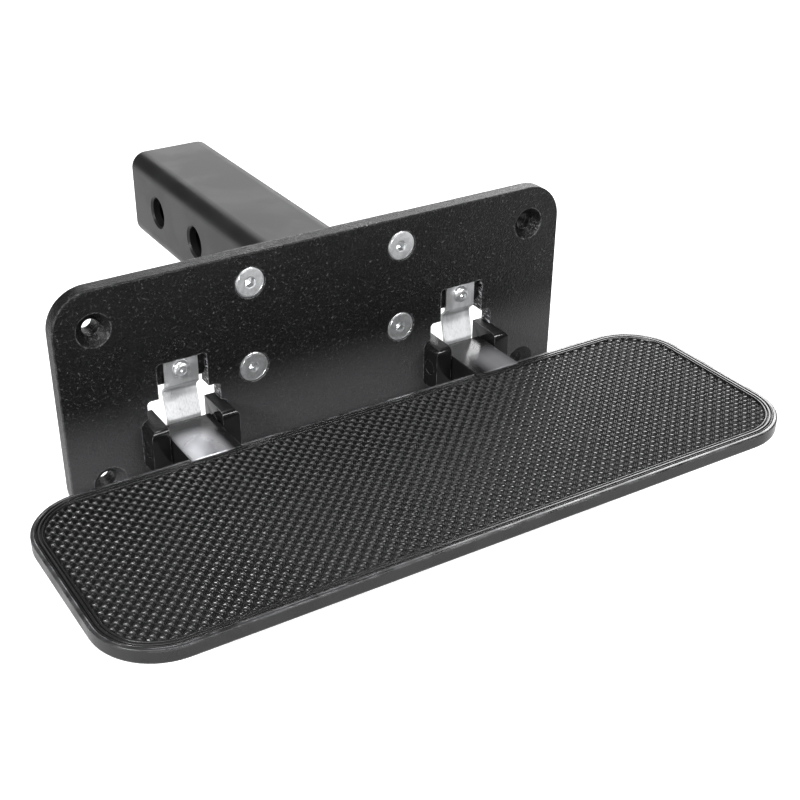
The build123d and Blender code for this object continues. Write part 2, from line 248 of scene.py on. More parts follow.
def make_streaks():
    """Lines along Z from rolling, with a few deeper scratches."""
    tree, given, out = effect("Rolled lines", {"Spacing": 0.35 * MM, "Smudge": 8 * MM},
                              ("Lines", "Scratches", "Smudges"))
    lines = noise(tree, given["Spacing"], detail=3.0, rough=0.6, stretch=(1, 1, 0.03))
    wider = maths(tree, "MULTIPLY", given["Spacing"], 2.4)
    marks = noise(tree, wider, rough=0.7, distortion=0.3, stretch=(1, 1, 0.12))
    soft = noise(tree, given["Smudge"], detail=3.0, rough=0.6, distortion=0.4,
                 stretch=(1, 1, 0.2))
    tree.links.new(lines, out["Lines"])
    tree.links.new(ramp(tree, marks, 0.66, 0.72), out["Scratches"])
    tree.links.new(ramp(tree, soft, 0.40, 0.66), out["Smudges"])
    return tree


BY_WINDOW = (26 * MM, 25 * MM)          # from a hinge's middle: past its window, and by its walls
WINDOW_TOP = (20 * MM, 17 * MM)         # up the plate: above a window, and below its top
WINDOW_FOOT = (-46 * MM, -43 * MM)      # up the plate: below a window, and above its foot


def make_cut():
    """Ragged lines through the plate's thickness on the walls of its windows, and their mask."""
    tree, given, out = effect("Cut walls", {"Spacing": 0.8 * MM}, ("Height", "Wall"))
    lines = noise(tree, given["Spacing"], rough=0.7, distortion=0.5, stretch=(1, 0.25, 1))
    place = axes_of(tree, object_point(tree))
    facing = maths(tree, "ABSOLUTE", axes_of(tree, true_normal(tree))["Y"])
    wall = product(tree, ramp(tree, facing, 0.6, 0.3),
                   ramp(tree, beside_hinge(tree, place["X"], HINGE_X), *BY_WINDOW),
                   ramp(tree, place["Z"], *WINDOW_TOP), ramp(tree, place["Z"], *WINDOW_FOOT))
    tree.links.new(lines, out["Height"])
    tree.links.new(wall, out["Wall"])
    return tree


EFFECTS = {}


def use(tree, name, **values):
    """Places a shared effect in a material with its own values."""
    makers = {"peel": make_peel, "blotch": make_blotch, "edge": make_worn_and_highlight_edges,
              "streaks": make_streaks, "cut": make_cut}
    if name not in EFFECTS:
        EFFECTS[name] = makers[name]()
    node = put(tree, "ShaderNodeGroup", node_tree=EFFECTS[name])
    for label, value in values.items():
        node.inputs[label].default_value = value
    return node.outputs


def blend_tones(tree, amount, first, second):
    """The first colour where amount is 0, and the second where it is 1."""
    node = tree.nodes.new("ShaderNodeMix")
    node.data_type = "RGBA"
    for index, value in ((0, amount), (6, first), (7, second)):
        if isinstance(value, bpy.types.NodeSocket):
            tree.links.new(value, node.inputs[index])
        else:
            node.inputs[index].default_value = value
    return node.outputs[2]


def lay(tree, tone, mask, strength, colour):
    """A tone with a colour laid over it, by a strength up to 1, where a mask is."""
    return blend_tones(tree, maths(tree, "MULTIPLY", mask, strength), tone, colour)


def bump(tree, height, distance):
    return put(tree, "ShaderNodeBump",
               {"Height": height, "Distance": distance, "Strength": 1.0}).outputs[0]


def start_material(name, **fixed):
    """A material with a plain Principled BSDF, and the values that are the same all over it."""
    material = bpy.data.materials.new(name)
    material.use_nodes = True
    shader = material.node_tree.nodes["Principled BSDF"]
    for label, value in fixed.items():
        shader.inputs[label.replace("_", " ")].default_value = value
    return material, material.node_tree, shader.inputs


def feed(tree, sockets, **values):
    for label, value in values.items():
        tree.links.new(value, sockets[label.replace("_", " ")])


def rgba(three, gain=1.0):
    """A finish's own colour made gain times as light, with alpha."""
    return (*(min(1.0, part * gain) for part in three), 1.0)


# ------------------------------------------------------------------ finishes
REFLECTION_BAND = (6 * MM, -20 * MM)          # up the plate: the plain coat, and the foot made lighter as painted reflection


def powder_coat(finishes):
    """Black textured coat with painted glints on its grain, made lighter towards the plate's foot as painted
    reflection.
    """
    material, tree, shader = start_material("textured powder coat", Specular_IOR_Level=0.36)
    peel = use(tree, "peel", Grain=1.3 * MM, Swell=7 * MM)
    blotch = use(tree, "blotch", Size=45 * MM, Fine=1.1 * MM)
    edge = use(tree, "edge", Width=1.0 * MM, Break=2.5 * MM)
    cut = use(tree, "cut", Spacing=0.9 * MM)
    height_up = axes_of(tree, object_point(tree))["Z"]
    painted_reflection = maths(tree, "MULTIPLY", ramp(tree, height_up, *REFLECTION_BAND), 0.8)
    clear = maths(tree, "SUBTRACT", 0.9, painted_reflection)
    scored_and_painted_light = product(tree, cut["Wall"], ramp(tree, cut["Height"], 0.54, 0.62))

    paint = finishes.paint
    tone = blend_tones(tree, blotch["Blotches"], rgba(paint, 0.2), rgba(paint, 0.5))
    # painted reflection: the coat gets lighter towards the plate's foot
    tone = blend_tones(tree, painted_reflection, tone, rgba(paint, 5.0))
    # worn edges, made light enough to be painted edge highlights too
    tone = lay(tree, tone, edge["Mask"], 0.8, rgba(paint, 30))
    # painted glints: light specks on the grain of the coat, kept off the painted reflection
    tone = lay(tree, tone, product(tree, peel["PaintedGlints"], clear), 0.55, rgba(paint, 14))
    tone = lay(tree, tone, blotch["Dust"], 0.25, rgba(paint, 10))
    # light score lines on the window walls: bare steel, and painted light that the walls catch
    tone = blend_tones(tree, scored_and_painted_light, tone, rgba(paint, 45))

    gloss = ramp(tree, blotch["Blotches"], 0.0, 1.0, finishes.coat_roughness + 0.06,
                 finishes.coat_roughness - 0.04)
    gloss = maths(tree, "MULTIPLY_ADD", peel["PaintedGlints"], -0.12, gloss)
    relief = put(tree, "ShaderNodeMix",
                 {0: cut["Wall"], 2: peel["Height"], 3: cut["Height"]}).outputs[0]
    deeper = ramp(tree, cut["Wall"], 0.0, 1.0, 1.0, 2.0)
    feed(tree, shader, Base_Color=tone, Roughness=gloss,
         Normal=bump(tree, product(tree, relief, deeper), 0.52 * MM))
    return material


def smooth_paint(finishes):
    """Even satin paint of the tube and its flange."""
    material, tree, shader = start_material("smooth satin paint", Specular_IOR_Level=0.5)
    peel = use(tree, "peel", Grain=0.5 * MM, Swell=9 * MM)
    blotch = use(tree, "blotch", Size=40 * MM, Fine=0.8 * MM)
    edge = use(tree, "edge", Width=0.6 * MM, Break=4 * MM)
    paint = finishes.paint
    tone = blend_tones(tree, blotch["Blotches"], rgba(paint, 0.9), rgba(paint, 1.35))
    tone = lay(tree, tone, edge["Mask"], 0.35, rgba(paint, 5))
    tone = lay(tree, tone, blotch["Dust"], 0.08, rgba(paint, 8))
    gloss = ramp(tree, blotch["Blotches"], 0.0, 1.0, finishes.paint_roughness - 0.03,
                 finishes.paint_roughness + 0.05)
    feed(tree, shader, Base_Color=tone, Roughness=gloss,
         Normal=bump(tree, peel["Height"], 0.010 * MM))
    return material


WEAR_HIGHLIGHT_MIDDLE = HINGE_X + 4 * MM           # the arms' bare patch, worn paint and painted highlight, is strongest in this plane
WEAR_HIGHLIGHT_ACROSS = (14 * MM, 2 * MM)          # from that plane: whole paint, and bare steel
WEAR_HIGHLIGHT_ALONG = (-6 * MM, -26 * MM)         # the same, along the arm from the plate
WEAR_HIGHLIGHT_TOP = (-20 * MM, -19 * MM)          # the same, up the arm: only its top is bare
WEAR_HIGHLIGHT_SIDE = (5 * MM, -5 * MM, 0.25, 1.0)  # across the part: the right arm's patch is weaker, so the painted highlight is stronger on the left arm


def gloss_paint(finishes):
    """Gloss paint of the hinges, bare steel on top of the arms: worn paint, and a painted highlight that is
    stronger on the left arm.
    """
    material, tree, shader = start_material("gloss hinge paint", Specular_IOR_Level=0.5)
    peel = use(tree, "peel", Grain=0.9 * MM, Swell=5 * MM)
    blotch = use(tree, "blotch", Size=16 * MM, Fine=0.7 * MM)
    edge = use(tree, "edge", Width=0.5 * MM, Break=5 * MM)
    place = axes_of(tree, object_point(tree))
    # bare steel on the arms' tops: wear, and a painted highlight that is stronger on the left arm
    wear_and_highlight = product(tree, ramp(tree, beside_hinge(tree, place["X"], WEAR_HIGHLIGHT_MIDDLE), *WEAR_HIGHLIGHT_ACROSS),
                     ramp(tree, place["X"], *WEAR_HIGHLIGHT_SIDE), ramp(tree, place["Y"], *WEAR_HIGHLIGHT_ALONG),
                     ramp(tree, place["Z"], *WEAR_HIGHLIGHT_TOP))
    paint = finishes.paint
    tone = blend_tones(tree, blotch["Dust"], rgba(paint, 0.8), rgba(paint, 3.0))
    tone = lay(tree, tone, edge["Mask"], 0.4, rgba(paint, 5))
    tone = blend_tones(tree, wear_and_highlight, tone, rgba(paint, 75))
    gloss = ramp(tree, blotch["Blotches"], 0.0, 1.0, finishes.hinge_roughness,
                 finishes.hinge_roughness + 0.07)
    gloss = maths(tree, "MULTIPLY_ADD", wear_and_highlight, 0.14, gloss)
    feed(tree, shader, Base_Color=tone, Roughness=gloss, Metallic=wear_and_highlight,
         Normal=bump(tree, peel["Height"], 0.022 * MM))
    return material


def cut_paint(finishes):
    """Gloss paint over the ragged, flame-cut ends of the ears."""
    material, tree, shader = start_material("gloss paint on cut steel", Specular_IOR_Level=0.5)
    peel = use(tree, "peel", Grain=1.1 * MM, Swell=4 * MM)
    edge = use(tree, "edge", Width=0.5 * MM, Break=6 * MM)
    up_or_down = maths(tree, "ABSOLUTE", axes_of(tree, true_normal(tree))["Z"])
    ragged = ramp(tree, up_or_down, 0.75, 0.92)
    # worn edges, made light enough to be painted edge highlights too
    tone = lay(tree, rgba(finishes.paint, 0.8), edge["Mask"], 0.9, rgba(finishes.paint, 26))
    relief = ramp(tree, ragged, 0.0, 1.0, 1.0, 14.0)
    feed(tree, shader, Base_Color=tone,
         Roughness=ramp(tree, ragged, 0.0, 1.0, finishes.hinge_roughness, 0.42),
         Normal=bump(tree, product(tree, peel["Height"], relief), 0.020 * MM))
    return material


def board_paint(finishes):
    """Satin paint of the tray, light along its edges: worn paint, and painted edge highlights."""
    material, tree, shader = start_material("satin board paint", Specular_IOR_Level=0.5)
    peel = use(tree, "peel", Grain=0.6 * MM, Swell=6 * MM)
    blotch = use(tree, "blotch", Size=22 * MM, Fine=0.9 * MM)
    edge = use(tree, "edge", Width=1.3 * MM, Break=9 * MM)
    paint = finishes.paint
    tone = blend_tones(tree, blotch["Blotches"], rgba(paint, 1.1), rgba(paint, 1.7))
    # worn edges, made light enough to be painted edge highlights too
    tone = lay(tree, tone, edge["Mask"], 0.9, rgba(paint, 30))
    tone = lay(tree, tone, blotch["Dust"], 0.15, rgba(paint, 9))
    gloss = ramp(tree, blotch["Blotches"], 0.0, 1.0, finishes.paint_roughness - 0.14,
                 finishes.paint_roughness + 0.02)
    feed(tree, shader, Base_Color=tone, Roughness=gloss,
         Normal=bump(tree, peel["Height"], 0.016 * MM))
    return material


KNOB_FLANK = (PAD_HIGH.z - 1.2 * MM, PAD_HIGH.z - 0.2 * MM)     # foot and shoulder of the knobs


def tread_rubber(finishes):
    """Moulded rubber, duller and darker between the knobs."""
    material, tree, shader = start_material("tread rubber", Specular_IOR_Level=0.5)
    peel = use(tree, "peel", Grain=0.35 * MM, Swell=2 * MM)
    blotch = use(tree, "blotch", Size=60 * MM, Fine=0.8 * MM)
    raised = ramp(tree, axes_of(tree, object_point(tree))["Z"], *KNOB_FLANK)
    rubber = finishes.rubber
    tone = blend_tones(tree, blotch["Blotches"], rgba(rubber, 0.85), rgba(rubber, 1.15))
    tone = lay(tree, tone, blotch["Dust"], 0.12, rgba(rubber, 6))
    tone = blend_tones(tree, raised, rgba(rubber, 0.8), tone)
    gloss = ramp(tree, blotch["Blotches"], 0.0, 1.0, finishes.rubber_roughness - 0.05,
                 finishes.rubber_roughness + 0.05)
    gloss = maths(tree, "ADD", gloss, ramp(tree, raised, 0.0, 1.0, 0.25, 0.0))
    feed(tree, shader, Base_Color=tone, Roughness=gloss,
         Normal=bump(tree, peel["Height"], 0.012 * MM))
    return material


def bright_steel(finishes):
    """Bright plate of the screws."""
    material, tree, shader = start_material("bright plated steel", Metallic=0.9)
    streaks = use(tree, "streaks", Spacing=0.4 * MM, Smudge=3 * MM)
    blotch = use(tree, "blotch", Size=2.4 * MM, Fine=0.5 * MM)
    steel = finishes.steel
    tone = blend_tones(tree, blotch["Blotches"], rgba(steel, 0.88), rgba(steel, 1.05))
    tone = lay(tree, tone, blotch["Dust"], 0.2, rgba(steel, 0.5))
    gloss = ramp(tree, streaks["Smudges"], 0.0, 1.0, 0.28, 0.38)
    feed(tree, shader, Base_Color=tone, Roughness=gloss,
         Normal=bump(tree, streaks["Smudges"], 0.006 * MM))
    return material


SCUFF_HIGHLIGHT_BAND = (-5 * MM, -9 * MM)         # up the strip: clean, and the band the knuckle wears, made lighter as a painted highlight too


def spring_steel(finishes):
    """Rolled strip with lines along it, worn white and less metallic where the knuckle passes: wear, and a painted
    highlight.
    """
    material, tree, shader = start_material("rolled spring steel")
    streaks = use(tree, "streaks", Spacing=0.5 * MM, Smudge=7 * MM)
    scuff_and_highlight = product(tree, ramp(tree, axes_of(tree, object_point(tree))["Z"], *SCUFF_HIGHLIGHT_BAND),
                      ramp(tree, streaks["Lines"], 0.35, 0.6, 0.55, 1.0))
    steel = finishes.steel
    tone = blend_tones(tree, streaks["Smudges"], rgba(steel, 0.75), rgba(steel, 1.0))
    # painted highlight: the strip's lower band is made lighter, as well as worn
    tone = blend_tones(tree, scuff_and_highlight, tone, rgba(steel, 1.15))
    tone = lay(tree, tone, streaks["Scratches"], 0.5, rgba(steel, 0.45))
    gloss = ramp(tree, streaks["Smudges"], 0.0, 1.0, 0.28, 0.42)
    feed(tree, shader, Base_Color=tone, Roughness=gloss,
         Metallic=ramp(tree, scuff_and_highlight, 0.0, 1.0, 0.7, 0.25),
         Normal=bump(tree, streaks["Lines"], 0.012 * MM))
    return material


def dull_zinc(finishes):
    """Dull plate of the nuts and washers."""
    material, tree, shader = start_material("dull zinc plate", Metallic=1.0)
    blotch = use(tree, "blotch", Size=5 * MM, Fine=0.6 * MM)
    zinc = finishes.zinc
    tone = blend_tones(tree, blotch["Blotches"], rgba(zinc, 0.8), rgba(zinc, 1.15))
    gloss = ramp(tree, blotch["Blotches"], 0.0, 1.0, 0.34, 0.48)
    feed(tree, shader, Base_Color=tone, Roughness=gloss,
         Normal=bump(tree, blotch["Dust"], 0.01 * MM))
    return material


FINISHES = {
    "plate_coat": powder_coat, "tube_paint": smooth_paint, "hinge_paint": gloss_paint,
    "ear_paint": cut_paint, "tray_paint": board_paint, "tread_rubber": tread_rubber,
    "bright_screw": bright_steel, "spring_steel": spring_steel, "zinc": dull_zinc,
}
MADE = {}


def finish_of(slot):
    """The material of a slot, made once."""
    if slot not in MADE:
        MADE[slot] = FINISHES[slot](bpy.context.scene.step_finishes)
    return MADE[slot]


# ------------------------------------------------------------------ mesh helpers
def piece(name, points, faces, body, slot, stands_for=(), look=None, sharp=40):
    """A mesh piece that rides on a body and wears a slot's finish."""
    mesh = bpy.data.meshes.new(name)
    mesh.from_pydata([tuple(p) for p in points], [], [tuple(f) for f in faces])
    mesh.validate()
    mesh.update()
    thing = bpy.data.objects.new(name, mesh)
    bpy.context.scene.collection.objects.link(thing)
    return settle(thing, body, slot, stands_for, look, sharp)


def settle(thing, body, slot, stands_for=(), look=None, sharp=40):
    """Gives a new piece its finish, shading and body, and hides the parts it stands for."""
    thing.data.materials.clear()
    thing.data.materials.append(finish_of(look or slot))
    thing.data.shade_smooth()
    thing.data.set_sharp_from_angle(angle=radians(sharp))
    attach(thing, body)
    if stands_for:
        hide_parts(*stands_for)
    return thing


def prism(name, outline, low, high, axis):
    """A temporary solid: an outline of (u, v) points, made solid along X or Y from low to high."""
    def spot(u, v, w):
        return (w, u, v) if axis == "X" else (u, w, v)
    count = len(outline)
    points = [spot(u, v, w) for w in (low, high) for u, v in outline]
    faces = [tuple(range(count)), tuple(range(2 * count - 1, count - 1, -1))]
    faces += [(i, i + count, (i + 1) % count + count, (i + 1) % count) for i in range(count)]
    mesh = bpy.data.meshes.new(name)
    mesh.from_pydata(points, [], faces)
    shape = bmesh.new()
    shape.from_mesh(mesh)
    bmesh.ops.recalc_face_normals(shape, faces=shape.faces)
    shape.to_mesh(mesh)
    shape.free()
    thing = bpy.data.objects.new(name, mesh)
    bpy.context.scene.collection.objects.link(thing)
    return thing


def combine(thing, other, operation):
    """Applies a boolean of two objects to the first, and removes the second."""
    modifier = thing.modifiers.new("combine", "BOOLEAN")
    modifier.operation, modifier.object, modifier.solver = operation, other, "EXACT"
    bake_modifiers(thing)
    bpy.data.objects.remove(other)


def bake_modifiers(thing):
    graph = bpy.context.evaluated_depsgraph_get()
    graph.update()
    mesh = bpy.data.meshes.new_from_object(thing.evaluated_get(graph))
    thing.modifiers.clear()
    thing.data = mesh


def corner_rounded(corners, steps=8):
    """An outline from (u, v, radius) corners, each rounded by its radius."""
    outline = []
    count = len(corners)
    for i, (u, v, radius) in enumerate(corners):
        here = Vector((u, v))
        before = (Vector(corners[i - 1][:2]) - here).normalized()
        after = (Vector(corners[(i + 1) % count][:2]) - here).normalized()
        if radius <= 0:
            outline.append((u, v))
            continue
        centre = here + (before + after) * radius
        for k in range(steps + 1):
            turn = k / steps * pi / 2
            spot = centre - after * radius * cos(turn) - before * radius * sin(turn)
            outline.append((spot.x, spot.y))
    return outline


def rounded_box(half_u, half_v, radius, centre=(0.0, 0.0), steps=12, straight=1):
    """Points round a rounded rectangle, the same number whatever its size."""
    points = []
    turns = [(1, 1, 0), (-1, 1, 90), (-1, -1, 180), (1, -1, 270)]
    for su, sv, first in turns:
        for k in range(steps + 1):
            angle = radians(first + 90 * k / steps)
            points.append((centre[0] + su * (half_u - radius) + radius * cos(angle),
                           centre[1] + sv * (half_v - radius) + radius * sin(angle)))
    if straight > 1:
        dense = []
        for i, (u, v) in enumerate(points):
            nu, nv = points[(i + 1) % len(points)]
            cuts = straight if (i + 1) % (steps + 1) == 0 else 1
            dense += [(u + (nu - u) * k / cuts, v + (nv - v) * k / cuts) for k in range(cuts)]
        points = dense
    return points


def stitched(rings, closed_section=False):
    """Quads between rings of equal length; closed_section joins the last ring to the first."""
    count = len(rings[0])
    points = [p for ring in rings for p in ring]
    faces = []
    for r in range(len(rings) - (0 if closed_section else 1)):
        s = (r + 1) % len(rings)
        faces += [(r * count + i, r * count + (i + 1) % count,
                   s * count + (i + 1) % count, s * count + i) for i in range(count)]
    return points, faces


def joined(parts):
    """One list of points and faces from several."""
    points, faces = [], []
    for some_points, some_faces in parts:
        base = len(points)
        points += list(some_points)
        faces += [tuple(base + i for i in face) for face in some_faces]
    return points, faces


# ------------------------------------------------------------------ tread
def tray_ring(inset, z):
    return [(u, v, z) for u, v in rounded_box(TRAY_HALF.x - inset, TRAY_HALF.y - inset,
                                              TRAY_R - inset, (TRAY_MIDDLE.x, TRAY_MIDDLE.y), 24)]


def inside_tray(x, y):
    """How far points lie inside the tray's outline."""
    u = np.abs(x - TRAY_MIDDLE.x) - (TRAY_HALF.x - TRAY_R)
    v = np.abs(y - TRAY_MIDDLE.y) - (TRAY_HALF.y - TRAY_R)
    corner = np.hypot(np.maximum(u, 0), np.maximum(v, 0))
    return TRAY_R - np.where((u > 0) & (v > 0), corner, np.maximum(u, v))


FIELD_INSET = 6.0 * MM      # the field fades out this far inside the tray's outline
FIELD_FADE = 0.5 * MM
FIELD_LAP = 0.9 * MM        # how far the flat edge of the field runs in under the border
CELL_STEPS = (0.0, 0.05, 0.13, 0.21, 0.30, 0.5, 0.70, 0.79, 0.87, 0.95)
KNOB_CURVE = (0.0, 0.72, 0.90, 1.0)     # a knob's height at CELL_STEPS from the third to its middle
KNOB_CROWN = 0.99           # a straight knob's middle, as a share of the knob height
KNOB_LEAN = 0.09            # how much the knobs' tops lean, as a share of their height
SAG = 0.10 * MM             # how far the sheet dips between the places where it is stuck down


def sheet_dip(x, y):
    """How far the sheet dips at each place: three slow waves, from 0 to SAG together."""
    waves = (np.sin(x / (9 * MM) + y / (21 * MM)) + np.sin(y / (8 * MM) - x / (33 * MM))
             + np.sin(x / (17 * MM) - y / (12 * MM) + 2.0))
    return SAG * (0.5 + waves / 6)


def tread_field(sizes):
    """Knobs in the squares of a net of thin ribs, all one moulded sheet."""
    pitch = sizes.knob_pitch
    reach = int((TRAY_HIGH.x - TRAY_LOW.x) / pitch) + 2
    line = np.array([i + t for i in range(-reach, reach) for t in CELL_STEPS])
    u, v = np.meshgrid(line, line, indexing="ij")
    x = TRAY_MIDDLE.x + pitch * (u + v) / sqrt(2)
    y = TRAY_MIDDLE.y + pitch * (u - v) / sqrt(2)
    depth = inside_tray(x, y)
    off_u, off_v = np.abs(u - np.round(u)), np.abs(v - np.round(v))

    def rib(off):
        return np.clip(1 - off / CELL_STEPS[1], 0, 1)

    def knob(off):
        return np.interp(off, CELL_STEPS[2:6], KNOB_CURVE)

    lean = np.random.default_rng(5).normal(0.0, KNOB_LEAN, (2, 2 * reach + 1, 2 * reach + 1))
    row, column = np.floor(u).astype(int) + reach, np.floor(v).astype(int) + reach
    tilt = lean[0, row, column] * (u % 1 - 0.5) + lean[1, row, column] * (v % 1 - 0.5)
    top = np.clip(knob(off_u) * knob(off_v) * (KNOB_CROWN + tilt), 0, 1)
    height = np.maximum(sizes.rib_height * np.maximum(rib(off_u), rib(off_v)),
                        sizes.knob_height * top)
    fade = np.clip((depth - FIELD_INSET) / FIELD_FADE, 0, 1)
    z = PAD_HIGH.z - sizes.knob_height - sheet_dip(x, y) + height * fade
    arms = (np.abs(np.abs(x) - HINGE_X) < ARM_HALF) & (y > ARM_TIP_Y)
    keep = (depth > FIELD_INSET - FIELD_LAP) & ~arms
    quads = keep[:-1, :-1] & keep[1:, :-1] & keep[1:, 1:] & keep[:-1, 1:]
    index = np.arange(line.size ** 2).reshape(line.size, line.size)
    corners = np.stack([index[:-1, :-1], index[:-1, 1:], index[1:, 1:], index[1:, :-1]], -1)[quads]
    used, faces = np.unique(corners, return_inverse=True)
    points = np.stack([x.ravel(), y.ravel(), z.ravel()], -1)[used]
    return points.tolist(), faces.reshape(-1, 4).tolist()


BORDER_SECTION = (  # inset from the tray's edge and height over the pad's top, in millimetres
    (1.95, -3.2), (1.95, -0.35), (2.05, -0.1), (2.25, 0.0), (2.5, -0.03), (2.66, -0.2),
    (2.72, -0.75), (3.05, -0.75), (3.12, -0.2), (3.26, -0.03), (3.5, 0.0), (4.05, 0.0),
    (4.25, -0.03), (4.38, -0.2), (4.44, -0.75), (4.8, -0.75), (4.88, -0.25), (5.05, -0.1),
    (5.45, -0.08), (5.8, -0.14), (6.0, -0.35), (6.1, -1.3), (6.3, -3.2))


def tread_border():
    """The raised border of the tread: beads and grooves that follow the tray's outline."""
    rings = [tray_ring(inset * MM, PAD_HIGH.z + height * MM) for inset, height in BORDER_SECTION]
    return stitched(rings, closed_section=True)


class STEP_OT_tread(bpy.types.Operator):
    """Makes the rubber tread: the border and the knobbed field"""
    bl_idname = "tailgate_step.tread"
    bl_label = "Tread"

    def execute(self, context):
        field = piece("tread_field", *tread_field(context.scene.step_sizes), STEP, "tread_rubber",
                      sharp=52)
        border = piece("tread_border", *tread_border(), STEP, "tread_rubber", ("tread_pad",),
                       sharp=60)
        gap = 0.2 * MM
        foot, top = PAD_LOW.z - MM, PAD_HIGH.z + MM
        for side in SIDES.values():
            left = side * HINGE_X - ARM_HALF - gap
            right = side * HINGE_X + ARM_HALF + gap
            outline = [(left, foot), (right, foot), (right, top), (left, top)]
            cutter = prism("notch", outline, ARM_TIP_Y - gap, TRAY_HIGH.y + 2 * MM, "Y")
            combine(border, cutter, "DIFFERENCE")
        settle(border, STEP, "tread_rubber", sharp=60)
        if not field.data.polygons:
            raise RuntimeError("the tread has no knobs")
        return {"FINISHED"}


# ------------------------------------------------------------------ hinges
HOLE_STEPS = 40             # points round a pin hole


class STEP_OT_ears(bpy.types.Operator):
    """Makes the four hinge ears with their rounded edges"""
    bl_idname = "tailgate_step.ears"
    bl_label = "Hinge ears"

    def execute(self, context):
        edge = context.scene.step_sizes.ear_edge
        for side_name, side in SIDES.items():
            for place, outward in (("outer", side), ("inner", -side)):
                node = f"ear_{side_name}_{place}"
                low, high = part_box(node)
                right, left = (EAR_CROWN, 0) if outward > 0 else (0, EAR_CROWN)
                front = corner_rounded([(low.x, low.z, left), (high.x, low.z, right),
                                        (high.x, high.z, right), (low.x, high.z, left)])
                profile = corner_rounded([(low.y, low.z, EAR_HEEL), (high.y, low.z, 0),
                                          (high.y, high.z, 0), (low.y, high.z, EAR_NOSE)])
                ear = prism(f"{node}_shape", front, low.y, high.y, "Y")
                combine(ear, prism("profile", profile, low.x, high.x, "X"), "INTERSECT")
                hole = [(HINGE_AXIS.y + PIN_HOLE_R * cos(tau * k / HOLE_STEPS),
                         HINGE_AXIS.z + PIN_HOLE_R * sin(tau * k / HOLE_STEPS))
                        for k in range(HOLE_STEPS)]
                combine(ear, prism("hole", hole, low.x - MM, high.x + MM, "X"), "DIFFERENCE")
                bevel = ear.modifiers.new("edges", "BEVEL")
                bevel.width, bevel.segments, bevel.limit_method = edge, 3, "ANGLE"
                bevel.angle_limit = radians(50)
                bake_modifiers(ear)
                settle(ear, ROOT, "hinge_paint", (node,), "ear_paint", 50)
        return {"FINISHED"}


# ------------------------------------------------------------------ screws, nuts and welds
UNCUT = 99                  # a limit in millimetres that cuts nothing off a loop
FLANGE_SCREW_TWISTS = (0.35, 0.9, 0.1, 0.6)


def hex_radius(across, angle):
    return across / 2 / cos((angle + pi / 6) % (pi / 3) - pi / 6)


def turned(loops, x, y, z, twist, count):
    """A round solid along +Y. Each loop is (radius or across-flats, depth, shape, limit)."""
    rings = []
    for size, depth, shape, limit in loops:
        ring = []
        for k in range(count):
            angle = tau * k / count
            radius = size if shape == "round" else min(hex_radius(size, angle), limit)
            turn = angle + twist
            ring.append((x + radius * cos(turn), y + depth, z + radius * sin(turn)))
        rings.append(ring)
    points, faces = stitched(rings)
    faces.append(tuple(range(count)))
    faces.append(tuple(range(len(points) - 1, len(points) - count - 1, -1)))
    return points, faces


def turned_mm(loops, *place):
    return turned([(a * MM, b * MM, c, d * MM) for a, b, c, d in loops], *place)


def pierced_mm(loops, x, y, z, twist, count):
    """A turned solid with a hole through it: its last loop is joined to its first."""
    points, faces = turned_mm(loops, x, y, z, twist, count)
    last = (len(loops) - 1) * count
    wall = [(last + i, last + (i + 1) % count, (i + 1) % count, i) for i in range(count)]
    return points, faces[:-2] + wall


def rounds(*pairs):
    return [(radius, depth, "round", UNCUT) for radius, depth in pairs]


def hexes(across, *depths):
    return [(across, depth, "hex", UNCUT) for depth in depths]


def socket(across, depth, mouth):
    """Loops from the floor of a hexagon socket out to its chamfered mouth."""
    return (rounds((0.4, depth + across * 0.25)) + hexes(across, depth, depth - 0.15, 0.35, 0.12)
            + rounds((mouth, 0.0)))


def thread(major, start, end, pitch=1.25):
    """Loops down a threaded shank to its chamfered end."""
    loops, depth = [], start
    while depth < end - 1.0:
        loops += rounds((major / 2, depth), (major / 2 * 0.87, depth + pitch / 2))
        depth += pitch
    return loops + rounds((major / 2 - 0.1, end - 0.9), (major / 2 * 0.8, end))


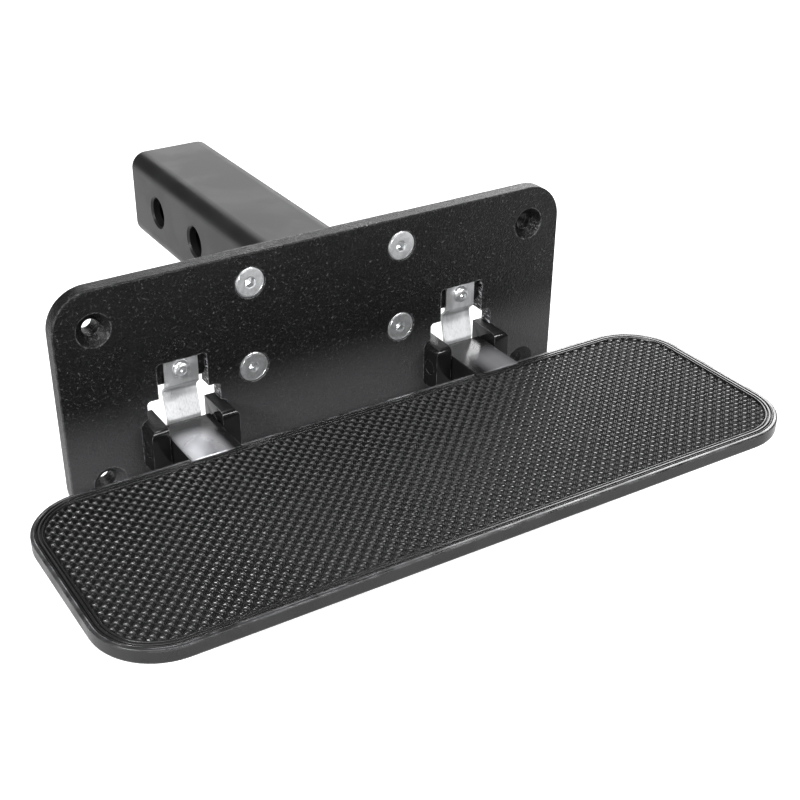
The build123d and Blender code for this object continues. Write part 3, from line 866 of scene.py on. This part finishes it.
class STEP_OT_screws(bpy.types.Operator):
    """Makes the screws, washers and nuts"""
    bl_idname = "tailgate_step.screws"
    bl_label = "Screws and nuts"

    def execute(self, context):
        count = context.scene.step_sizes.round_steps
        head = (socket(5.0, 3.6, 3.15)
                + rounds((3.3, 0.0), (4.4, 0.02), (5.6, 0.0), (6.75, 0.0), (6.9, 0.2),
                         (7.05, 0.0), (7.45, 0.0), (7.75, 0.14), (7.95, 0.45), (4.0, 4.3))
                + thread(8.0, 5.0, 30.0))
        sunk = 0.2 * MM
        screws = [turned_mm(head, x, sunk, z, twist, count)
                  for (x, z), twist in zip(FLANGE_SCREWS, FLANGE_SCREW_TWISTS)]
        piece("flange_screw_set", *joined(screws), ROOT, "bright_screw", ("flange_screws",),
              sharp=35)

        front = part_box("spring_screws")[0].y
        dome = (socket(3.0, 1.9, 1.9)
                + rounds((2.3, 0.0), (2.8, 0.12), (3.3, 0.36), (3.8, 0.75), (4.25, 1.3),
                         (4.55, 1.9), (4.72, 2.4), (4.75, 2.75), (2.5, 2.75))
                + thread(5.0, 2.9, 9.05, 0.8))
        buttons = [turned_mm(dome, side * HINGE_X, front, SPRING_SCREW_Z, twist, count)
                   for side, twist in zip(SIDES.values(), (0.1, 0.7))]
        piece("spring_screw_pair", *joined(buttons), ROOT, "bright_screw", ("spring_screws",),
              sharp=35)

        washer_t, flats = 1.6, 13.0
        washer = rounds((4.3, 0.0), (7.8, 0.0), (8.0, 0.2), (8.0, washer_t - 0.2),
                        (7.8, washer_t), (4.3, washer_t))
        nut = (rounds((4.15, 0.9), (4.9, 0.0))
               + [(flats, 0.0, "hex", 6.3), (flats, 0.35, "hex", 6.9)] + hexes(flats, 0.7, 7.3)
               + [(flats, 7.65, "hex", 6.9), (flats, 8.0, "hex", 6.3)]
               + rounds((4.9, 8.0), (4.15, 7.1)))
        washers, nuts = [], []
        for (x, z), twist in zip(FLANGE_SCREWS, FLANGE_SCREW_TWISTS):
            washers.append(pierced_mm(washer, x, FLANGE_BACK, z, 0.0, count))
            nuts.append(pierced_mm(nut, x, FLANGE_BACK + washer_t * MM, z, twist * 2, count))
        piece("flange_washer_set", *joined(washers), ROOT, "zinc", ("flange_washers",), sharp=35)
        piece("flange_nut_set", *joined(nuts), ROOT, "zinc", ("flange_nuts",), sharp=35)
        return {"FINISHED"}


WELD_FILL = 0.985           # how much of the CAD weld's section the ripples' crests fill
TUBE_RIPPLE, EAR_RIPPLE = 0.16, 0.12    # how deep the ripples are, as a share of the bead
WELD_HOLLOW = 1.25          # 1 is a straight fillet, and more is a hollow one
WELD_ROOT = 0.4 * MM        # how far the bead at the tube's foot runs into the tube
EAR_WELD_X, EAR_WELD_WIDE, EAR_WELD_HIGH = 23.5 * MM, 3.9 * MM, 0.78 * MM
EAR_WELD_ROOT = 0.2 * MM
EAR_WELD_STEPS = 60


def tube_bead(ripple):
    """A rippled fillet round the tube where it meets the flange."""
    low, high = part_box("tube_weld")
    leg, rise = (high.x - low.x - TUBE) / 2 * WELD_FILL, (high.y - low.y) * WELD_FILL
    path = rounded_box(TUBE / 2, TUBE / 2, TUBE_R, (0.0, TUBE_Z), 24, 56)
    bead, travelled = [], 0.0
    for i, (x, z) in enumerate(path):
        before, after = Vector(path[i - 1]), Vector(path[(i + 1) % len(path)])
        tangent = (after - before).normalized()
        outward = Vector((tangent.y, -tangent.x))
        travelled += (Vector((x, z)) - before).length
        phase = travelled / ripple % 1.0
        swell = 1.0 - TUBE_RIPPLE * phase ** 2 + 0.03 * sin(travelled / ripple * 1.7)
        section = [(leg * swell * cos(k * pi / 16) ** WELD_HOLLOW,
                    rise * swell * sin(k * pi / 16) ** WELD_HOLLOW) for k in range(9)]
        section += [(-WELD_ROOT, section[-1][1]), (-WELD_ROOT, 0.0)]
        bead.append([(x + outward.x * out, FLANGE_BACK + along, z + outward.y * out)
                     for out, along in section])
    return stitched(bead, closed_section=True)


def ear_bead(x, outward, ripple):
    """A rippled bead up the back of the plate beside an ear, thinner at its ends."""
    low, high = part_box("ear_welds")
    rings = []
    for k in range(EAR_WELD_STEPS + 1):
        up = (high.z - low.z) * k / EAR_WELD_STEPS
        phase = up / ripple % 1.0
        end = min(1.0, 0.25 + 6 * min(k, EAR_WELD_STEPS - k) / EAR_WELD_STEPS)
        wide = outward * EAR_WELD_WIDE * end * (1.0 - EAR_RIPPLE * phase ** 2)
        section = [(wide * cos(t * pi / 12), EAR_WELD_HIGH * end * sin(t * pi / 12) ** 0.8)
                   for t in range(7)]
        section += [(0.0, -EAR_WELD_ROOT), (wide, -EAR_WELD_ROOT)]
        rings.append([(x + out, PLATE_T + along, low.z + up) for out, along in section])
    points, faces = stitched(rings)
    count = len(rings[0])
    caps = [tuple(range(count)), tuple(range(len(points) - 1, len(points) - count - 1, -1))]
    return points, faces + caps


class STEP_OT_welds(bpy.types.Operator):
    """Makes the rippled welds at the tube's foot and beside the ears"""
    bl_idname = "tailgate_step.welds"
    bl_label = "Welds"

    def execute(self, context):
        ripple = context.scene.step_sizes.weld_ripple
        piece("tube_weld_bead", *tube_bead(ripple), ROOT, "tube_paint", ("tube_weld",), sharp=50)
        beads = [ear_bead(side * HINGE_X + outward * EAR_WELD_X, outward, ripple)
                 for side in SIDES.values() for outward in (-1, 1)]
        piece("ear_weld_beads", *joined(beads), ROOT, "hinge_paint", ("ear_welds",), sharp=50)
        return {"FINISHED"}


class STEP_OT_finishes(bpy.types.Operator):
    """Gives the frame's own parts their finishes"""
    bl_idname = "tailgate_step.finishes"
    bl_label = "Finishes"

    def execute(self, context):
        slots = {part["node"]: part["material_slot"] for part in frame["record"]["subparts"]}
        for node, thing in frame["nodes"].items():
            for holder in thing.material_slots:
                holder.material = finish_of(slots[node])
        return {"FINISHED"}


# ------------------------------------------------------------------ stage
CAMERA_PLACE = (-0.30597, -0.54917, 0.32543)
CAMERA_TURN = (58.926, 0.0, -31.196)    # degrees
SENSOR, LENS = 36.0, 61.659             # millimetres
LENS_SHIFT = (0.032825, 0.04425)        # shares of the picture's width
FLOOR_HALF, FLOOR_GAP = 4.0, 0.2 * MM
FLOOR_GLOW, FLOOR_GLOW_SEEN = 0.25, 0.55    # glow to everything, and what the camera sees more
WORLD_GLOW = 0.16
LIGHTS = (  # name, place, aim, width and height in metres, and watts
    ("key", (-1.1, -0.45, 0.62), (0, -0.05, 0), 0.22, 0.22, 15.0),
    ("top", (-0.3, -0.1, 1.5), (0, 0, 0), 0.8, 0.8, 15.0),
    ("right", (0.86, 0.62, 0.55), (0.08, -0.05, 0), 0.55, 0.55, 9.0),
    ("back", (0.5, 1.3, 0.5), (0, 0, 0), 0.8, 0.8, 3.6),
    ("front", (0.30, -1.0, 0.62), (0, 0, 0), 0.9, 0.10, 10.0))


def area_light(name, place, aim, width, height, power):
    data = bpy.data.lights.new(name, "AREA")
    data.shape, data.size, data.size_y, data.energy = "RECTANGLE", width, height, power
    lamp = bpy.data.objects.new(name, data)
    bpy.context.scene.collection.objects.link(lamp)
    lamp.location = place
    lamp.rotation_euler = (Vector(aim) - Vector(place)).to_track_quat("-Z", "Y").to_euler()


class STEP_OT_stage(bpy.types.Operator):
    """Makes the floor, the lights and the camera"""
    bl_idname = "tailgate_step.stage"
    bl_label = "Stage"

    def execute(self, context):
        scene = context.scene
        scene.view_settings.view_transform = "Standard"
        scene.view_settings.gamma = 0.9
        half, level = FLOOR_HALF, CAD_BOX[0].z - FLOOR_GAP
        mesh = bpy.data.meshes.new("floor")
        mesh.from_pydata([(-half, -half, level), (half, -half, level), (half, half, level),
                          (-half, half, level)], [], [(0, 1, 2, 3)])
        floor = bpy.data.objects.new("floor", mesh)
        scene.collection.objects.link(floor)
        material, tree, shader = start_material("pale floor", Roughness=0.9)
        shader["Base Color"].default_value = (0.6, 0.6, 0.6, 1.0)
        shader["Emission Color"].default_value = (1.0, 1.0, 1.0, 1.0)
        seen = put(tree, "ShaderNodeLightPath").outputs["Is Camera Ray"]
        tree.links.new(maths(tree, "MULTIPLY_ADD", seen, FLOOR_GLOW_SEEN, FLOOR_GLOW),
                       shader["Emission Strength"])
        floor.data.materials.append(material)

        world = bpy.data.worlds.new("studio")
        scene.world = world
        world.use_nodes = True
        sky = world.node_tree.nodes["Background"].inputs
        sky["Color"].default_value = (1, 1, 1, 1)
        sky["Strength"].default_value = WORLD_GLOW

        for light in LIGHTS:
            area_light(*light)

        lens = bpy.data.cameras.new("camera")
        lens.sensor_width = SENSOR
        lens.lens = LENS
        lens.shift_x, lens.shift_y = LENS_SHIFT
        lens.clip_start, lens.clip_end = 0.01, 20
        camera = bpy.data.objects.new("camera", lens)
        scene.collection.objects.link(camera)
        camera.location = CAMERA_PLACE
        camera.rotation_euler = Euler([radians(a) for a in CAMERA_TURN])
        scene.camera = camera
        return {"FINISHED"}


# ------------------------------------------------------------------ panel and registration
OPERATORS = (STEP_OT_stage, STEP_OT_finishes, STEP_OT_tread, STEP_OT_ears, STEP_OT_screws,
             STEP_OT_welds)


class STEP_PT_panel(bpy.types.Panel):
    """Sizes, finishes and pieces of the tailgate step"""
    bl_idname = "STEP_PT_panel"
    bl_label = "Tailgate Step"
    bl_space_type = "VIEW_3D"
    bl_region_type = "UI"
    bl_category = "Step"

    def draw(self, context):
        for group in (context.scene.step_sizes, context.scene.step_finishes):
            box = self.layout.box()
            for name in group.__annotations__:
                box.prop(group, name)
        for operator in OPERATORS:
            self.layout.operator(operator.bl_idname)


CLASSES = (StepSizes, StepFinishes, *OPERATORS, STEP_PT_panel)


def register():
    for cls in CLASSES:
        bpy.utils.register_class(cls)
    bpy.types.Scene.step_sizes = PointerProperty(type=StepSizes)
    bpy.types.Scene.step_finishes = PointerProperty(type=StepFinishes)


def unregister():
    del bpy.types.Scene.step_finishes
    del bpy.types.Scene.step_sizes
    for cls in reversed(CLASSES):
        bpy.utils.unregister_class(cls)


def main():
    register()
    for operator in OPERATORS:
        module, name = operator.bl_idname.split(".")
        if getattr(getattr(bpy.ops, module), name)() != {"FINISHED"}:
            raise RuntimeError(f"{operator.bl_label} did not finish")


if __name__ == "__main__":
    main()
